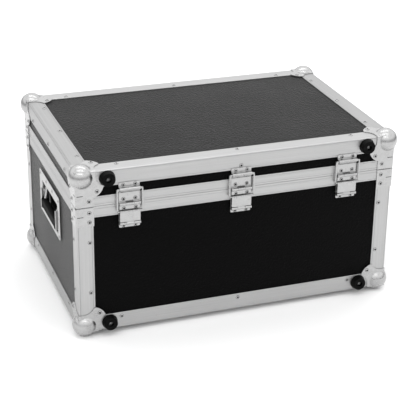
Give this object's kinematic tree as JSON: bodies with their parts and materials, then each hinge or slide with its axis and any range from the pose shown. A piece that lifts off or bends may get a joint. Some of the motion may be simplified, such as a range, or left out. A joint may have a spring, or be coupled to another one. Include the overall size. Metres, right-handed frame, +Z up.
{
  "type": "hard equipment case",
  "caption": "Hard case of black laminated panels in aluminium edge extrusions, with ball corners, stay hinges, feet, latches and recessed handles.",
  "frame": {"origin": "centre of the overall box in plan, at the height of the surface that the four lower ball corners stand on", "axes": "+X along the length from the left handle to the right one, +Y from the hinge face with the rubber feet towards the latch face, +Z up through the lid"},
  "size_m": [0.62, 0.424, 0.329],
  "materials": {
    "panel_laminate": "black grained laminate on plywood",
    "extrusion_aluminium": "brushed natural anodised extrusion",
    "corner_steel": "zinc plated pressed steel",
    "hinge_steel": "zinc plated pressed steel",
    "handle_steel": "zinc plated pressed steel",
    "latch_steel": "zinc plated pressed steel",
    "foot_rubber": "satin moulded rubber",
    "grip_rubber": "matt moulded rubber"
  },
  "bodies": {
    "base": {"base_bottom_panel": "panel_laminate", "base_hinge_panel": "panel_laminate", "base_latch_panel": "panel_laminate", "base_left_panel": "panel_laminate", "base_right_panel": "panel_laminate", "bottom_edge_frame": "extrusion_aluminium", "base_rim": "extrusion_aluminium", "corner_post_hinge_left": "extrusion_aluminium", "corner_post_hinge_right": "extrusion_aluminium", "corner_post_latch_left": "extrusion_aluminium", "corner_post_latch_right": "extrusion_aluminium", "ball_corner_bottom_hinge_left": "corner_steel", "ball_corner_bottom_hinge_right": "corner_steel", "ball_corner_bottom_latch_left": "corner_steel", "ball_corner_bottom_latch_right": "corner_steel", "corner_brace_hinge_left": "corner_steel", "corner_brace_hinge_right": "corner_steel", "corner_brace_latch_left": "corner_steel", "corner_brace_latch_right": "corner_steel", "handle_dish_left": "handle_steel", "handle_dish_right": "handle_steel", "rubber_foot_lower_left": "foot_rubber", "rubber_foot_lower_right": "foot_rubber", "hinge_base_plate_1": "hinge_steel", "hinge_base_plate_2": "hinge_steel", "hinge_base_plate_3": "hinge_steel", "hinge_pin_1": "hinge_steel", "hinge_pin_2": "hinge_steel", "hinge_pin_3": "hinge_steel", "latch_dish_left": "latch_steel", "latch_dish_right": "latch_steel"},
    "lid": {"lid_top_panel": "panel_laminate", "lid_skirt": "panel_laminate", "top_edge_frame": "extrusion_aluminium", "lid_rim": "extrusion_aluminium", "ball_corner_top_hinge_left": "corner_steel", "ball_corner_top_hinge_right": "corner_steel", "ball_corner_top_latch_left": "corner_steel", "ball_corner_top_latch_right": "corner_steel", "rubber_foot_upper_left": "foot_rubber", "rubber_foot_upper_right": "foot_rubber", "hinge_lid_plate_1": "hinge_steel", "hinge_lid_plate_2": "hinge_steel", "hinge_lid_plate_3": "hinge_steel", "latch_keeper_left": "latch_steel", "latch_keeper_right": "latch_steel"},
    "stay_frame_1": {"stay_frame_1": "hinge_steel"},
    "stay_strap_1": {"stay_strap_1": "hinge_steel"},
    "stay_frame_2": {"stay_frame_2": "hinge_steel"},
    "stay_strap_2": {"stay_strap_2": "hinge_steel"},
    "stay_frame_3": {"stay_frame_3": "hinge_steel"},
    "stay_strap_3": {"stay_strap_3": "hinge_steel"},
    "handle_grip_left": {"handle_grip_left": "grip_rubber"},
    "handle_grip_right": {"handle_grip_right": "grip_rubber"},
    "latch_cam_left": {"latch_cam_left": "latch_steel"},
    "latch_wing_left": {"latch_wing_left": "latch_steel"},
    "latch_hook_left": {"latch_hook_left": "latch_steel"},
    "latch_cam_right": {"latch_cam_right": "latch_steel"},
    "latch_wing_right": {"latch_wing_right": "latch_steel"},
    "latch_hook_right": {"latch_hook_right": "latch_steel"}
  },
  "joints": [
    {"name": "lid_hinge", "type": "hinge", "parent": "base", "child": "lid", "pos_m": [0, -0.206, 0.2535], "axis": [1, 0, 0], "range_deg": [0, 90]},
    {"name": "stay_frame_1_swing", "type": "hinge", "parent": "lid", "child": "stay_frame_1", "pos_m": [-0.206, -0.206, 0.2815], "axis": [1, 0, 0], "range_deg": [-53, 0]},
    {"name": "stay_strap_1_swing", "type": "hinge", "parent": "base", "child": "stay_strap_1", "pos_m": [-0.206, -0.206, 0.2167], "axis": [1, 0, 0], "range_deg": [0, 38]},
    {"name": "stay_frame_2_swing", "type": "hinge", "parent": "lid", "child": "stay_frame_2", "pos_m": [0, -0.206, 0.2815], "axis": [1, 0, 0], "range_deg": [-53, 0]},
    {"name": "stay_strap_2_swing", "type": "hinge", "parent": "base", "child": "stay_strap_2", "pos_m": [0, -0.206, 0.2167], "axis": [1, 0, 0], "range_deg": [0, 38]},
    {"name": "stay_frame_3_swing", "type": "hinge", "parent": "lid", "child": "stay_frame_3", "pos_m": [0.206, -0.206, 0.2815], "axis": [1, 0, 0], "range_deg": [-53, 0]},
    {"name": "stay_strap_3_swing", "type": "hinge", "parent": "base", "child": "stay_strap_3", "pos_m": [0.206, -0.206, 0.2167], "axis": [1, 0, 0], "range_deg": [0, 38]},
    {"name": "handle_left_swing", "type": "hinge", "parent": "base", "child": "handle_grip_left", "pos_m": [-0.294, 0.001, 0.194], "axis": [0, 1, 0], "range_deg": [0, 90], "stiffness_Nm_per_rad": 0.12},
    {"name": "handle_right_swing", "type": "hinge", "parent": "base", "child": "handle_grip_right", "pos_m": [0.294, 0.001, 0.194], "axis": [0, -1, 0], "range_deg": [0, 90], "stiffness_Nm_per_rad": 0.12},
    {"name": "latch_left_turn", "type": "hinge", "parent": "base", "child": "latch_cam_left", "pos_m": [-0.18, 0.202, 0.213], "axis": [0, 1, 0], "range_deg": [0, 180]},
    {"name": "latch_left_wing_fold", "type": "hinge", "parent": "latch_cam_left", "child": "latch_wing_left", "pos_m": [-0.18, 0.201, 0.22], "axis": [1, 0, 0], "range_deg": [0, 90]},
    {"name": "latch_left_hook_tilt", "type": "hinge", "parent": "base", "child": "latch_hook_left", "pos_m": [-0.18, 0.1975, 0.2365], "axis": [1, 0, 0], "range_deg": [0, 14]},
    {"name": "latch_right_turn", "type": "hinge", "parent": "base", "child": "latch_cam_right", "pos_m": [0.18, 0.202, 0.213], "axis": [0, 1, 0], "range_deg": [0, 180]},
    {"name": "latch_right_wing_fold", "type": "hinge", "parent": "latch_cam_right", "child": "latch_wing_right", "pos_m": [0.18, 0.201, 0.22], "axis": [1, 0, 0], "range_deg": [0, 90]},
    {"name": "latch_right_hook_tilt", "type": "hinge", "parent": "base", "child": "latch_hook_right", "pos_m": [0.18, 0.1975, 0.2365], "axis": [1, 0, 0], "range_deg": [0, 14]}
  ],
  "couplings": [
    {"joint": "stay_frame_1_swing", "follows": "lid_hinge", "ratio": -0.58},
    {"joint": "stay_strap_1_swing", "follows": "lid_hinge", "ratio": 0.42},
    {"joint": "stay_frame_2_swing", "follows": "lid_hinge", "ratio": -0.58},
    {"joint": "stay_strap_2_swing", "follows": "lid_hinge", "ratio": 0.42},
    {"joint": "stay_frame_3_swing", "follows": "lid_hinge", "ratio": -0.58},
    {"joint": "stay_strap_3_swing", "follows": "lid_hinge", "ratio": 0.42},
    {"joint": "latch_left_hook_tilt", "follows": "latch_left_turn", "ratio": 0.0777},
    {"joint": "latch_right_hook_tilt", "follows": "latch_right_turn", "ratio": 0.0777}
  ]
}
